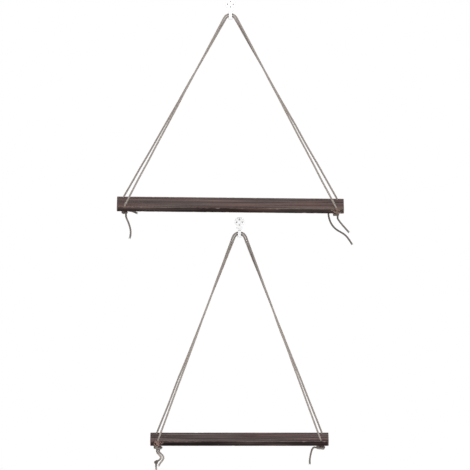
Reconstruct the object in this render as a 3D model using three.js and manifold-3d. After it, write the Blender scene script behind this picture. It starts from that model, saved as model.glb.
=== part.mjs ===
// A pair of wooden shelf boards that hang on rope from plastic wall hooks, one above the other.
// Lengths are in millimetres and angles in degrees. +X is to the right, +Y into the wall, +Z up.
// The origin is on the wall, behind the centre of the upper hook's disc.

import * as THREE from "three";
import { mergeVertices } from "three/addons/utils/BufferGeometryUtils.js";
import Module from "manifold-3d";

const wasm = await Module();
wasm.setup();

// Boards
const upperBoardLength = 527;
const lowerBoardLength = 415;
const boardDepth = 130;
const boardThickness = 11;
const boardCornerRadius = 3;
const boardEdgeBevel = 0.8;
const boardToWall = 1.5;
const frontHoleFromEnd = 18.5;
const rearHoleFromEnd = 15.5;
const holeFromEdge = 11.5;

// Where the two shelves hang
const upperBoardDrop = 456.6; // from the middle of the hook's disc down to the board's top
const lowerBoardDrop = 495.8;
const upperBoardTilt = 0.6; // the right end hangs lower
const lowerBoardTilt = 0;
const upperBoardLean = 1.3; // the front edge hangs lower
const lowerBoardLean = -1; // the front edge hangs higher
const lowerHookRight = 21; // how far the lower hook is to the right of the upper one
const lowerHookClearance = 35; // from the upper board's underside down to the lower hook's disc

// Rope
const ropeDiameter = 4.5;
const ropePairClearance = 0.3; // between the two ropes in a hook, one on top of the other
const ropeSeatClearance = 0.3; // between a rope and the throat of the hook
const ropeHoleClearance = 0.75; // around a rope in its hole
const ropeCutGap = 0.3; // between the end faces of a rope's lengths, and under the board
const ropeHookBend = 4; // bend radius where the lower rope leaves the hook
const ropeHoleBend = 8; // bend radius above a hole
const ropeHoleBendRise = 1.5; // height of that bend's corner above the board
const bightBeyondTongue = 0.8; // how far the bight shows on each side of the tongue

// Hook
const discDiameter = 22;
const discBevel = 0.9;
const hookWall = 3.2;
const tongueWidth = 7;
const tongueBevel = 0.6;
const neckWidth = 14;
const shoulderWidth = 13.4;
const neckTopDrop = 7; // below the disc's centre
const shoulderDrop = 14.5;
const neckFootDrop = 19;
const throatDrop = 27.6; // from the disc's centre down to the axis of the lower rope in the throat
const throatFloor = 5.85; // thickness of the plastic under the throat
const lipRise = 9.6; // from the lower rope's axis up to the tip of the lip
const footWidth = 10; // the tongue flares under the ropes
const footHeight = 4;
const footTipRise = 1.2; // how far the flare's tips lie above the tongue's underside
const footTipHeight = 0.4;

// How steeply the floor of the throat falls away to each side, for ropes that rock on it
const throatCrown = 15;

// Pins
const pinCircleDiameter = 13;
const pinDiameter = 1.4;
const pinHoleClearance = 0.3;
const pinHeadDiameter = 2.8;
const pinHeadHeight = 1;
const pinHeadGap = 0.3;
const pinBite = 14; // how far a pin goes into the wall
const pinPoint = 3;
const pinHeadShares = [[0, 1], [0.5, 0.85], [1, 0.35]]; // points of the dome: radius and height

// How far a cut runs past the faces that it goes through
const cutOverrun = 1;

// Knots under the boards
const upperKnotWidth = 15;
const upperKnotHeight = 8;
const lowerKnotWidth = 21;
const lowerKnotHeight = 10;
const endKnotWidth = 9.5;
const endKnotHeight = 7;
const knotLoopTilt = 9;
const knotCrownDrop = 1; // how far the knot's middle lies below the top of its loops
const knotStub = 1; // how far the rope's stub shows beyond the loops

// Smoothness, as counts
const ropeSides = 10;
const bendSteps = 5;
const loopSides = 6;
const loopSteps = 14;
const boardCurveSegments = 4;
const throatSegments = 8;
const bevelSegments = 2;
const pinSides = 10;
const discSides = 36;
const discBevelSteps = 3;
const stepsPerDiameterOfEnd = 0.5;
const cornerPasses = 6;

// Loose ends and short runs of rope: X, Y and Z from where each leaves its knot, chosen by eye.
const upperFrontLeftEnd = [
  [0, 0, 0], [0.2, 0, -4], [2.4, -0.6, -10.5], [6, -1.4, -18.5], [9.1, -2.2, -27.5],
  [11.1, -2.8, -37], [11.2, -2.6, -46], [9.8, -2, -54.5],
];
const upperFrontLeftShift = 3; // how far to the right of its knot's middle this end leaves
const upperRearLeftEnd = [
  [0, 0, 0], [0, 0, -4.2], [4, -1, -8], [10.8, -3, -10], [20.5, -5.5, -11.2], [31.5, -8, -15],
];
const upperFrontRightEnd = [
  [0, 0, 0], [0.2, 0, -4], [4.4, -1, -10.5], [11, -2, -18.5], [18.6, -2.5, -27], [26, -2, -35.5],
];
const upperFrontRightShift = 4;
const upperRearRightEnd = [
  [0, 0, 0], [-4.5, 0, 0], [-9.5, -1, -3.2], [-11.5, -2, -9.5], [-11, -3, -18], [-9.4, -4, -28],
  [-5.4, -5, -38.5], [1, -6, -48], [9.5, -7, -55.5], [18.5, -8, -60.5], [27, -8, -66],
  [33.8, -7, -73], [39.4, -6, -81], [44.6, -5, -89],
];
const lowerRearLeftEnd = [
  [0, 0, 0], [4.5, 0, 0], [12, -1, -1.4], [21, -3, -4], [31, -6, -7.4],
];
const lowerRearRightEnd = [
  [0, 0, 0], [-4.5, 0, 0], [-12, 1, -1.2], [-21, 2, -3.6], [-31, 2, -7.2],
];
const lowerFrontRightEnd = [
  [0, 0, 0], [-4.5, 0, 0], [-8.6, -1, -5], [-11, -2, -13], [-13, -3, -22.5], [-13.9, -3, -30.5],
  [-13.8, -2, -38],
];
const lowerFrontLeftShortEnd = [
  [0, 0, 0], [0, 0, -4.5], [5.2, 0, -9.5], [9.2, 0, -14.5], [9.8, 0, -19.5], [6.6, 0, -25.2],
  [2.4, 0, -30.5], [-0.8, 0, -36.5],
];
const lowerFrontLeftRun = [
  [0, 0, 0], [0, 0, -4.5], [4.4, 0, -10.5], [8.2, 0, -15], [9, 0, -18.6], [6.6, 0, -22],
  [2.6, 0, -25.2],
];
const lowerFrontLeftLongEnd = [
  [0, 0, 0], [0, 0, -4.5], [0.4, -1, -13], [1.4, -2, -22], [1.6, -3, -31], [0.8, -3, -40],
];

const degrees = Math.PI / 180;
const right = new THREE.Vector3(1, 0, 0);
const down = new THREE.Vector3(0, 0, -1);

const ropeRadius = ropeDiameter / 2;
const ropePitch = ropeDiameter + ropePairClearance;
const throatRadius = ropeRadius + ropeSeatClearance;
const throatY = -(throatRadius + hookWall);
const tongueUnderside = -throatDrop - throatRadius - throatFloor;
const ropePairMiddle = -throatDrop + ropePitch / 2;
const lowerHookDown =
  upperBoardDrop + boardThickness + lowerHookClearance + discDiameter / 2;
const bightHalfLength = tongueWidth / 2 + bightBeyondTongue;
const strandStart = bightHalfLength + ropeCutGap;

// How each rope lies in the hook: the rear one at the bottom of the throat, the front one on top of it
const ropeSeats = {
  front: { z: -throatDrop + ropePitch, bend: ropeHookBend + ropePitch },
  rear: { z: -throatDrop, bend: ropeHookBend },
};

const object = new THREE.Group();

const materials = {
  plastic: () => new THREE.MeshStandardMaterial({ color: 0xf2f2f0, roughness: 0.35, metalness: 0 }),
  steel: () => new THREE.MeshStandardMaterial({ color: 0x55504c, roughness: 0.4, metalness: 1 }),
  wood: () => new THREE.MeshStandardMaterial({ color: 0x665752, roughness: 0.75, metalness: 0 }),
  rope: () => new THREE.MeshStandardMaterial({ color: 0x9a9083, roughness: 0.95, metalness: 0 }),
};

function addPiece(parent, name, geometry, finish) {
  const piece = new THREE.Mesh(geometry, materials[finish]());
  piece.name = name;
  parent.add(piece);
  return piece;
}

// A geometry with its shared corners merged, as a solid that can be joined and cut.
function solidFrom(geometry) {
  const bare = geometry.clone();
  bare.deleteAttribute("normal");
  bare.deleteAttribute("uv");
  const merged = mergeVertices(bare);
  return new wasm.Manifold(
    new wasm.Mesh({
      numProp: 3,
      vertProperties: new Float32Array(merged.attributes.position.array),
      triVerts: new Uint32Array(merged.index.array),
    }),
  );
}

function geometryFrom(solid) {
  const mesh = solid.getMesh();
  const geometry = new THREE.BufferGeometry();
  geometry.setAttribute("position", new THREE.BufferAttribute(mesh.vertProperties, mesh.numProp));
  geometry.setIndex(new THREE.BufferAttribute(mesh.triVerts, 1));
  geometry.computeVertexNormals();
  return geometry;
}

function joined(geometries) {
  return geometries.map(solidFrom).reduce((whole, next) => whole.add(next));
}

// A rope's route through the stations where its tube has a ring, so bends get rings and straights none.
class RopeRoute extends THREE.Curve {
  constructor(stations) {
    super();
    this.stations = stations;
    this.runs = stations.length - 1;
  }

  getPoint(share, target = new THREE.Vector3()) {
    const place = share * this.runs;
    const before = Math.min(Math.floor(place), this.runs - 1);
    return target.lerpVectors(this.stations[before], this.stations[before + 1], place - before);
  }

  getTangent(share, target = new THREE.Vector3()) {
    const station = Math.round(share * this.runs);
    target.set(0, 0, 0);
    for (const run of [station - 1, station]) {
      if (run < 0 || run >= this.runs) continue;
      const heading = this.stations[run + 1].clone().sub(this.stations[run]).normalize();
      target.add(heading);
    }
    return target.normalize();
  }

  getUtoTmapping(share) {
    return share;
  }
}

function ropeSection() {
  const corners = [];
  for (let side = 0; side < ropeSides; side += 1) {
    const turn = (side / ropeSides) * Math.PI * 2;
    corners.push(new THREE.Vector2(ropeRadius * Math.cos(turn), ropeRadius * Math.sin(turn)));
  }
  return new THREE.Shape(corners);
}

function ropeTube(route, steps) {
  return new THREE.ExtrudeGeometry(ropeSection(), { steps, extrudePath: route });
}

// A straight stub of rope from one point towards another, for a knot.
function ropeStub(from, to) {
  return ropeTube(new RopeRoute([from, to]), 1);
}

// A loose end through hand-chosen points, as a smooth tube.
function looseRope(points) {
  const curve = new THREE.CatmullRomCurve3(points.map((point) => new THREE.Vector3(...point)));
  const steps = Math.ceil((curve.getLength() / ropeDiameter) * stepsPerDiameterOfEnd);
  return ropeTube(curve, Math.max(steps, points.length - 1));
}

// Points on a round bend between two headings that meet at a corner.
function bend(corner, heading, nextHeading, radius) {
  const turn = heading.angleTo(nextHeading);
  const tangent = radius * Math.tan(turn / 2);
  const start = corner.clone().addScaledVector(heading, -tangent);
  const inward = nextHeading.clone().addScaledVector(heading, -Math.cos(turn)).normalize();
  const centre = start.clone().addScaledVector(inward, radius);
  const points = [];
  for (let step = 0; step <= bendSteps; step += 1) {
    const angle = (turn * step) / bendSteps;
    points.push(
      centre
        .clone()
        .addScaledVector(inward, -radius * Math.cos(angle))
        .addScaledVector(heading, radius * Math.sin(angle)),
    );
  }
  return points;
}

// One strand: out of the hook, round the tongue's edge, straight to its hole and down through the board.
function strandTube(side, seat, holeTop, holeFoot) {
  const outward = right.clone().multiplyScalar(side);
  const start = new THREE.Vector3(side * strandStart, throatY, seat.z);
  const throughBoard = holeFoot.clone().sub(holeTop).normalize();
  const lowCorner = holeTop.clone().addScaledVector(throughBoard, -ropeHoleBendRise);
  let highCorner = start.clone();
  let slope = lowCorner.clone().sub(highCorner).normalize();
  for (let pass = 0; pass < cornerPasses; pass += 1) {
    const tangent = seat.bend * Math.tan(outward.angleTo(slope) / 2);
    highCorner = start.clone().addScaledVector(outward, tangent);
    slope = lowCorner.clone().sub(highCorner).normalize();
  }
  const stations = [
    ...bend(highCorner, outward, slope, seat.bend),
    ...bend(lowCorner, slope, throughBoard, ropeHoleBend),
    holeFoot,
  ];
  return ropeTube(new RopeRoute(stations), stations.length - 1);
}

function bightTube(seat) {
  const from = new THREE.Vector3(-bightHalfLength, throatY, seat.z);
  const to = new THREE.Vector3(bightHalfLength, throatY, seat.z);
  return ropeStub(from, to);
}

// The disc of a hook, flat on the wall, with a rounded front edge.
function discBlank() {
  const radius = discDiameter / 2;
  const profile = [new THREE.Vector2(0, -hookWall)];
  for (let step = 0; step <= discBevelSteps; step += 1) {
    const turn = (step / discBevelSteps) * (Math.PI / 2);
    profile.push(
      new THREE.Vector2(
        radius - discBevel + discBevel * Math.sin(turn),
        -hookWall + discBevel - discBevel * Math.cos(turn),
      ),
    );
  }
  profile.push(new THREE.Vector2(radius, 0), new THREE.Vector2(0, 0));
  return new THREE.LatheGeometry(profile, discSides);
}

// An outline seen from the front, drawn in X and Z, as a plate that stands out from the wall.
function standingPlate(outline, depth) {
  const plate = new THREE.ExtrudeGeometry(outline, { depth, bevelEnabled: false });
  const standing = new THREE.Matrix4().makeBasis(
    new THREE.Vector3(1, 0, 0),
    new THREE.Vector3(0, 0, 1),
    new THREE.Vector3(0, -1, 0),
  );
  return plate.applyMatrix4(standing);
}

// An outline seen from the side, drawn in Y and Z, as a bar centred on X with small bevels.
function sidewaysBar(outline, width, bevel) {
  const bar = new THREE.ExtrudeGeometry(outline, {
    depth: width - 2 * bevel,
    bevelThickness: bevel,
    bevelSize: bevel,
    bevelOffset: -bevel,
    bevelSegments,
    bevelEnabled: bevel > 0,
    curveSegments: throatSegments,
  });
  bar.translate(0, 0, bevel - width / 2);
  const sideways = new THREE.Matrix4().makeBasis(
    new THREE.Vector3(0, 1, 0),
    new THREE.Vector3(0, 0, 1),
    new THREE.Vector3(1, 0, 0),
  );
  return bar.applyMatrix4(sideways);
}

// The neck runs down from the disc to its shoulders and narrows there to the tongue.
function neckBlank() {
  const corners = [
    [neckWidth / 2, -neckTopDrop],
    [shoulderWidth / 2, -shoulderDrop],
    [tongueWidth / 2, -neckFootDrop],
  ];
  const rightSide = corners.map(([x, z]) => new THREE.Vector2(x, z));
  const leftSide = corners.map(([x, z]) => new THREE.Vector2(-x, z)).reverse();
  return standingPlate(new THREE.Shape([...rightSide, ...leftSide]), hookWall);
}

// The tongue seen from the side: down the wall, round under the throat and up to the lip.
function tongueOutline() {
  const outerRadius = throatRadius + hookWall;
  const outerZ = tongueUnderside + outerRadius;
  const tipRadius = hookWall / 2;
  const outline = new THREE.Shape();
  outline.moveTo(0, -neckTopDrop);
  outline.lineTo(0, outerZ);
  outline.absarc(throatY, outerZ, outerRadius, 0, -Math.PI, true);
  outline.lineTo(throatY - outerRadius, -throatDrop + lipRise - tipRadius);
  outline.absarc(
    throatY - outerRadius + tipRadius,
    -throatDrop + lipRise - tipRadius,
    tipRadius,
    Math.PI,
    0,
    true,
  );
  outline.lineTo(throatY - throatRadius, -throatDrop);
  outline.absarc(throatY, -throatDrop, throatRadius, Math.PI, 2 * Math.PI, false);
  outline.lineTo(-hookWall, -neckTopDrop);
  return outline;
}

// The flare at the tongue's foot: a wider tongue, cut to a crescent as seen from the front.
function footSolid() {
  const tipX = footWidth / 2;
  const tipZ = tongueUnderside + footTipRise;
  const shoulderZ = tongueUnderside + footHeight;
  const crescent = new THREE.Shape();
  crescent.moveTo(tongueWidth / 2, shoulderZ);
  crescent.lineTo(-tongueWidth / 2, shoulderZ);
  crescent.lineTo(-tipX, tipZ + footTipHeight);
  crescent.lineTo(-tipX, tipZ);
  crescent.quadraticCurveTo(0, 2 * tongueUnderside - tipZ, tipX, tipZ);
  crescent.lineTo(tipX, tipZ + footTipHeight);
  const depth = 2 * (throatRadius + hookWall) + cutOverrun;
  const wide = sidewaysBar(tongueOutline(), footWidth + 2 * cutOverrun, 0);
  return solidFrom(wide).intersect(solidFrom(standingPlate(crescent, depth)));
}

// What the ropes would sweep in the throat if they rocked to one side as far as its floor is crowned.
function throatCutter(turn) {
  const outline = new THREE.Shape();
  const top = ropePairMiddle + ropePitch;
  outline.moveTo(throatY - throatRadius, top);
  outline.lineTo(throatY - throatRadius, -throatDrop);
  outline.absarc(throatY, -throatDrop, throatRadius, Math.PI, 2 * Math.PI, false);
  outline.lineTo(throatY + throatRadius, top);
  return sidewaysBar(outline, tongueWidth + footWidth, 0)
    .translate(0, 0, -ropePairMiddle)
    .rotateY(turn * degrees)
    .translate(0, 0, ropePairMiddle);
}

const pinPlaces = [
  { name: "top", turn: 90 },
  { name: "right", turn: 0 },
  { name: "bottom", turn: -90 },
  { name: "left", turn: 180 },
].map(({ name, turn }) => ({
  name,
  x: (pinCircleDiameter / 2) * Math.cos(turn * degrees),
  z: (pinCircleDiameter / 2) * Math.sin(turn * degrees),
}));

function hookGeometry() {
  const tongue = sidewaysBar(tongueOutline(), tongueWidth, tongueBevel);
  const swept = [-throatCrown, throatCrown].map(throatCutter);
  const moulding = joined([discBlank(), neckBlank(), tongue]).add(footSolid());
  const holes = pinPlaces.map(({ x, z }) => {
    const radius = pinDiameter / 2 + pinHoleClearance;
    const drill = new THREE.CylinderGeometry(radius, radius, hookWall + 2 * cutOverrun, pinSides);
    return drill.translate(x, -hookWall / 2, z);
  });
  return geometryFrom(moulding.subtract(joined(holes)).subtract(joined(swept)));
}

// A steel pin with a low domed head outside the disc and its point in the wall.
function pinGeometry() {
  const headBack = -(hookWall + pinHeadGap);
  const shank = pinDiameter / 2;
  const head = pinHeadDiameter / 2;
  const profile = pinHeadShares.map(
    ([wide, high]) => new THREE.Vector2(head * wide, headBack - pinHeadHeight * high),
  );
  profile.push(
    new THREE.Vector2(head, headBack),
    new THREE.Vector2(shank, headBack),
    new THREE.Vector2(shank, pinBite - pinPoint),
    new THREE.Vector2(0, pinBite),
  );
  return new THREE.LatheGeometry(profile, pinSides);
}

function boardGeometry(length) {
  const halfLength = length / 2;
  const halfDepth = boardDepth / 2;
  const radius = boardCornerRadius;
  const outline = new THREE.Shape();
  outline.moveTo(-halfLength + radius, -halfDepth);
  outline.lineTo(halfLength - radius, -halfDepth);
  outline.absarc(halfLength - radius, -halfDepth + radius, radius, -Math.PI / 2, 0, false);
  outline.absarc(halfLength - radius, halfDepth - radius, radius, 0, Math.PI / 2, false);
  outline.absarc(-halfLength + radius, halfDepth - radius, radius, Math.PI / 2, Math.PI, false);
  outline.absarc(-halfLength + radius, -halfDepth + radius, radius, Math.PI, 1.5 * Math.PI, false);
  for (const place of holePlaces(length)) {
    const hole = new THREE.Path();
    hole.absarc(place.x, place.y, ropeRadius + ropeHoleClearance, 0, 2 * Math.PI, true);
    outline.holes.push(hole);
  }
  const plank = new THREE.ExtrudeGeometry(outline, {
    depth: boardThickness - 2 * boardEdgeBevel,
    bevelThickness: boardEdgeBevel,
    bevelSize: boardEdgeBevel,
    bevelOffset: -boardEdgeBevel,
    bevelSegments,
    curveSegments: boardCurveSegments,
  });
  return plank.translate(0, 0, boardEdgeBevel - boardThickness);
}

// The holes of a board, from the middle of its top.
function holePlaces(length) {
  const places = [];
  const holesFromEnd = { front: frontHoleFromEnd, rear: rearHoleFromEnd };
  for (const depthSide of ["front", "rear"]) {
    for (const lengthSide of ["left", "right"]) {
      places.push({
        name: `${depthSide}_${lengthSide}`,
        rope: depthSide,
        side: lengthSide === "left" ? -1 : 1,
        x: (length / 2 - holesFromEnd[depthSide]) * (lengthSide === "left" ? -1 : 1),
        y: (boardDepth / 2 - holeFromEdge) * (depthSide === "front" ? -1 : 1),
      });
    }
  }
  return places;
}

// Where a rope leaves its knot, and the stub that reaches there from the knot's middle.
function knotExit(width, height, way) {
  const middle = new THREE.Vector3(0, 0, -height / 2);
  if (way.heading) {
    const heading = new THREE.Vector3(...way.heading).normalize();
    return { from: middle, heading, reach: width / 2 + knotStub };
  }
  const from = middle.clone().setX(way.shift ?? 0);
  return { from, heading: down.clone(), reach: height / 2 + knotStub };
}

// A knot: two rope loops laid over each other round a full middle, with its rope's stubs.
function knotGeometry(width, height, exits) {
  const loopRadius = width / 2 - ropeRadius;
  const lift = ropeRadius + loopRadius * Math.sin(knotLoopTilt * degrees);
  const pieces = [];
  for (const [z, tilt] of [[-lift, knotLoopTilt], [lift - height, -knotLoopTilt]]) {
    const loop = new THREE.TorusGeometry(loopRadius, ropeRadius, loopSides, loopSteps);
    loop.rotateY(tilt * degrees);
    pieces.push(loop.translate(0, 0, z));
  }
  const fill = new THREE.CylinderGeometry(
    loopRadius,
    loopRadius,
    height - 2 * knotCrownDrop,
    loopSteps,
  );
  pieces.push(fill.rotateX(Math.PI / 2).translate(0, 0, -height / 2));
  pieces.push(ropeStub(new THREE.Vector3(0, 0, -height / 2), new THREE.Vector3(0, 0, 0)));
  for (const { from, heading, reach } of exits) {
    pieces.push(ropeStub(from, from.clone().addScaledVector(heading, reach)));
  }
  return geometryFrom(joined(pieces));
}

function placeRope(parent, name, points, exit) {
  const rope = addPiece(parent, name, looseRope(points), "rope");
  rope.position.copy(exit.from).addScaledVector(exit.heading, exit.reach + ropeCutGap);
  return rope;
}

function addShelf(shelf) {
  const group = new THREE.Group();
  group.position.set(shelf.right, 0, -shelf.down);
  object.add(group);

  addPiece(group, `${shelf.name}_hook`, hookGeometry(), "plastic");
  for (const { name, x, z } of pinPlaces) {
    addPiece(group, `${shelf.name}_pin_${name}`, pinGeometry(), "steel").position.set(x, 0, z);
  }

  const boardFrame = new THREE.Group();
  boardFrame.position.set(0, -boardToWall - boardDepth / 2, -shelf.boardDrop);
  boardFrame.rotation.set(shelf.boardLean * degrees, shelf.boardTilt * degrees, 0);
  boardFrame.updateMatrix();
  group.add(boardFrame);
  addPiece(boardFrame, `${shelf.name}_board`, boardGeometry(shelf.boardLength), "wood");

  for (const [rope, seat] of Object.entries(ropeSeats)) {
    addPiece(group, `${shelf.name}_${rope}_bight`, bightTube(seat), "rope");
  }

  for (const hole of holePlaces(shelf.boardLength)) {
    const name = `${shelf.name}_${hole.name}`;
    const top = new THREE.Vector3(hole.x, hole.y, 0).applyMatrix4(boardFrame.matrix);
    const foot = new THREE.Vector3(hole.x, hole.y, -boardThickness).applyMatrix4(boardFrame.matrix);
    const strand = strandTube(hole.side, ropeSeats[hole.rope], top, foot);
    addPiece(group, `${name}_strand`, strand, "rope");

    const knotFrame = new THREE.Group();
    knotFrame.position.set(hole.x, hole.y, -boardThickness - ropeCutGap);
    boardFrame.add(knotFrame);
    const ways = shelf.ends[hole.name];
    const exits = ways.map((way) => knotExit(shelf.knotWidth, shelf.knotHeight, way));
    const knot = knotGeometry(shelf.knotWidth, shelf.knotHeight, exits);
    addPiece(knotFrame, `${name}_knot`, knot, "rope");
    ways.forEach((way, index) => {
      const rope = placeRope(knotFrame, `${name}_${way.name}`, way.points, exits[index]);
      if (way.endKnot) addEndKnot(knotFrame, name, rope.position, way);
    });
  }
}

// The small knot at the foot of a run of rope, and the loose end that hangs from it.
function addEndKnot(parent, name, runStart, way) {
  const last = way.points.map((point) => new THREE.Vector3(...point)).slice(-2);
  const heading = last[1].clone().sub(last[0]).normalize();
  const back = heading.clone().negate();
  const reach = endKnotWidth / 2 + knotStub;
  const middle = new THREE.Vector3(0, 0, -endKnotHeight / 2);
  const knotFrame = new THREE.Group();
  knotFrame.position
    .copy(runStart)
    .add(last[1])
    .addScaledVector(heading, reach + ropeCutGap)
    .sub(middle);
  parent.add(knotFrame);
  const exit = knotExit(endKnotWidth, endKnotHeight, {});
  const inlet = { from: middle, heading: back, reach };
  const knot = knotGeometry(endKnotWidth, endKnotHeight, [exit, inlet]);
  addPiece(knotFrame, `${name}_end_knot`, knot, "rope");
  placeRope(knotFrame, `${name}_${way.endKnot.name}`, way.endKnot.points, exit);
}

addShelf({
  name: "upper",
  right: 0,
  down: 0,
  boardLength: upperBoardLength,
  boardDrop: upperBoardDrop,
  boardTilt: upperBoardTilt,
  boardLean: upperBoardLean,
  knotWidth: upperKnotWidth,
  knotHeight: upperKnotHeight,
  ends: {
    front_left: [{ name: "end", points: upperFrontLeftEnd, shift: upperFrontLeftShift }],
    rear_left: [{ name: "end", points: upperRearLeftEnd }],
    front_right: [{ name: "end", points: upperFrontRightEnd, shift: upperFrontRightShift }],
    rear_right: [{ name: "end", points: upperRearRightEnd, heading: [-1, 0, 0] }],
  },
});

addShelf({
  name: "lower",
  right: lowerHookRight,
  down: lowerHookDown,
  boardLength: lowerBoardLength,
  boardDrop: lowerBoardDrop,
  boardTilt: lowerBoardTilt,
  boardLean: lowerBoardLean,
  knotWidth: lowerKnotWidth,
  knotHeight: lowerKnotHeight,
  ends: {
    front_left: [
      { name: "short_end", points: lowerFrontLeftShortEnd, shift: ropeRadius + ropeCutGap },
      {
        name: "run",
        points: lowerFrontLeftRun,
        shift: -(ropeRadius + ropeCutGap),
        endKnot: { name: "long_end", points: lowerFrontLeftLongEnd },
      },
    ],
    rear_left: [{ name: "end", points: lowerRearLeftEnd, heading: [1, 0, 0] }],
    front_right: [{ name: "end", points: lowerFrontRightEnd, heading: [-1, 0, 0] }],
    rear_right: [{ name: "end", points: lowerRearRightEnd, heading: [-1, 0, 0] }],
  },
});

export default object;
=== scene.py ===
# %% [markdown]
# A pair of hanging rope shelves.
# Each shelf is a stained plank with a hole near each corner. Two ropes carry it: a front one and a
# rear one, each knotted under the plank at both ends and laid over a white plastic hook on the wall.
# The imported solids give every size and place. This lesson dresses them: real twisted rope, tied
# knots, worn wood, moulded plastic and small steel pins.

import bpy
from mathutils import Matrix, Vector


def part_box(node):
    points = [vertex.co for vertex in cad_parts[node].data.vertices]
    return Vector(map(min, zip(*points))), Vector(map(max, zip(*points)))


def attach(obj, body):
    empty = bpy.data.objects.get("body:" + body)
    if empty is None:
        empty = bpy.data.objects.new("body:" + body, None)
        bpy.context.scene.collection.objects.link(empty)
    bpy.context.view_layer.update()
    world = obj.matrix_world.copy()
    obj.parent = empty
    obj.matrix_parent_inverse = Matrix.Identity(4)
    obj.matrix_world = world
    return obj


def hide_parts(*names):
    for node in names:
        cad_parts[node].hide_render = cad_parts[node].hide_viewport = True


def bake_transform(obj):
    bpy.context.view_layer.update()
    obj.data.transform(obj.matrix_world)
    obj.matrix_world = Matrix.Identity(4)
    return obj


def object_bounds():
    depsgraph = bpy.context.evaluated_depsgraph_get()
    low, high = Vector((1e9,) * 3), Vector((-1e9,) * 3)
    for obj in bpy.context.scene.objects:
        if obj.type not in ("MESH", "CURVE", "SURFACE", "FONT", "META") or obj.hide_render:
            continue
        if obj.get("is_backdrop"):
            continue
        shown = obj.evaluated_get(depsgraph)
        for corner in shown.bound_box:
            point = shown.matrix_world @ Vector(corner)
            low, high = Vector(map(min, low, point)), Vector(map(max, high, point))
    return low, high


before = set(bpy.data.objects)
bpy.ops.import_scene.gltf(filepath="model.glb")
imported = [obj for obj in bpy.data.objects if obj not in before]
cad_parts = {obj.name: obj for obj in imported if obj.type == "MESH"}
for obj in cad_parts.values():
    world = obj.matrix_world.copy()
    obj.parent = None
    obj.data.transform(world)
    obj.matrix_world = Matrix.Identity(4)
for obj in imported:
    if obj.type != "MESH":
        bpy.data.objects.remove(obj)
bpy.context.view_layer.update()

# %% [markdown]
# A few sizes are needed all through the lesson. They are the same as in the solids, so that the ropes
# still run through the holes and lie in the hooks.

# %% Tools and shared sizes, in metres
import math
import random

import bmesh
import bpy
import numpy as np
from mathutils import Matrix, Vector, kdtree, noise

mm = 0.001
rope_diameter = 4.5 * mm
board_depth = 130 * mm
board_thickness = 11 * mm
board_to_wall = 1.5 * mm
holes_from_end = {"front": 18.5 * mm, "rear": 15.5 * mm}
hole_from_edge = 11.5 * mm
rope_cut_gap = 0.3 * mm
rope_pair_gap = 0.3 * mm
knot_stub = 1 * mm
hook_wall = 3.2 * mm
weld_distance = 0.001 * mm


def linked(name, data):
    """A new object in the scene that holds this data."""
    made = bpy.data.objects.new(name, data)
    bpy.context.scene.collection.objects.link(made)
    return made


print("rope", rope_diameter / mm, "mm, boards", board_depth / mm, "by", board_thickness / mm, "mm")

# %% [markdown]
# The two shelves differ only in their sizes, so one table holds both. A shelf hangs at its hook,
# and its board turns a little about its own middle when one rope is shorter than the other.

# %% The two shelves
shelves = {
    "upper": {
        "hook": Vector((0, 0, 0)),
        "length": 527 * mm,
        "drop": 456.6 * mm,
        "tilt": math.radians(0.6),
        "lean": math.radians(1.3),
        "knot_width": 15 * mm,
        "knot_height": 8 * mm,
    },
    "lower": {
        "hook": Vector((21 * mm, 0, -513 * mm)),
        "length": 415 * mm,
        "drop": 495.8 * mm,
        "tilt": 0.0,
        "lean": math.radians(-1),
        "knot_width": 21 * mm,
        "knot_height": 10 * mm,
    },
}
for name, shelf in shelves.items():
    middle = shelf["hook"] + Vector((0, -board_to_wall - board_depth / 2, -shelf["drop"]))
    turn = Matrix.Rotation(shelf["lean"], 4, "X") @ Matrix.Rotation(shelf["tilt"], 4, "Y")
    shelf["board_frame"] = Matrix.Translation(middle) @ turn
    print(name, "board hangs at", tuple(round(value, 4) for value in middle))

# %% [markdown]
# The camera comes before anything else, because it decides what has to look right. The photograph
# looks slightly down on both boards alike, which is what a long lens far away sees. One pixel of the
# photograph is a known length on the wall, so the lens follows from the distance.

# %% Camera
picture_pixels = 470
pixels_per_metre = 430
hook_pixel = (230.4, 4.4)
camera_distance = 45.0
camera_height_angle = math.radians(9.5)
camera_clip_end = 400.0

look = Vector((0, math.cos(camera_height_angle), -math.sin(camera_height_angle)))
picture_up = Vector((0, math.sin(camera_height_angle), math.cos(camera_height_angle)))
picture_middle = picture_pixels / 2
aim_right = (picture_middle - hook_pixel[0]) / pixels_per_metre
aim_up = (hook_pixel[1] - picture_middle) / pixels_per_metre
aim = Vector((aim_right, 0, aim_up / picture_up.z))

camera_data = bpy.data.cameras.new("camera")
camera_data.lens = camera_data.sensor_width * camera_distance * pixels_per_metre / picture_pixels
camera_data.clip_end = camera_clip_end
camera = linked("camera", camera_data)
camera.location = aim - look * camera_distance
camera.rotation_euler = look.to_track_quat("-Z", "Y").to_euler()
bpy.context.scene.camera = camera
print("lens", round(camera_data.lens), "mm, aimed at", tuple(round(value, 4) for value in aim))

# %% [markdown]
# A rope follows a route. Where it hangs loose the route is a few given points, joined by a smooth
# curve. Where it is pulled tight it runs straight and turns round corners. Both become one evenly
# spaced line of points, which the strands of the rope then wind about.

# %% Routes
route_spacing = 0.9 * mm
steps_between_points = 16
corner_steps = 8
corner_passes = 6


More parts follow.
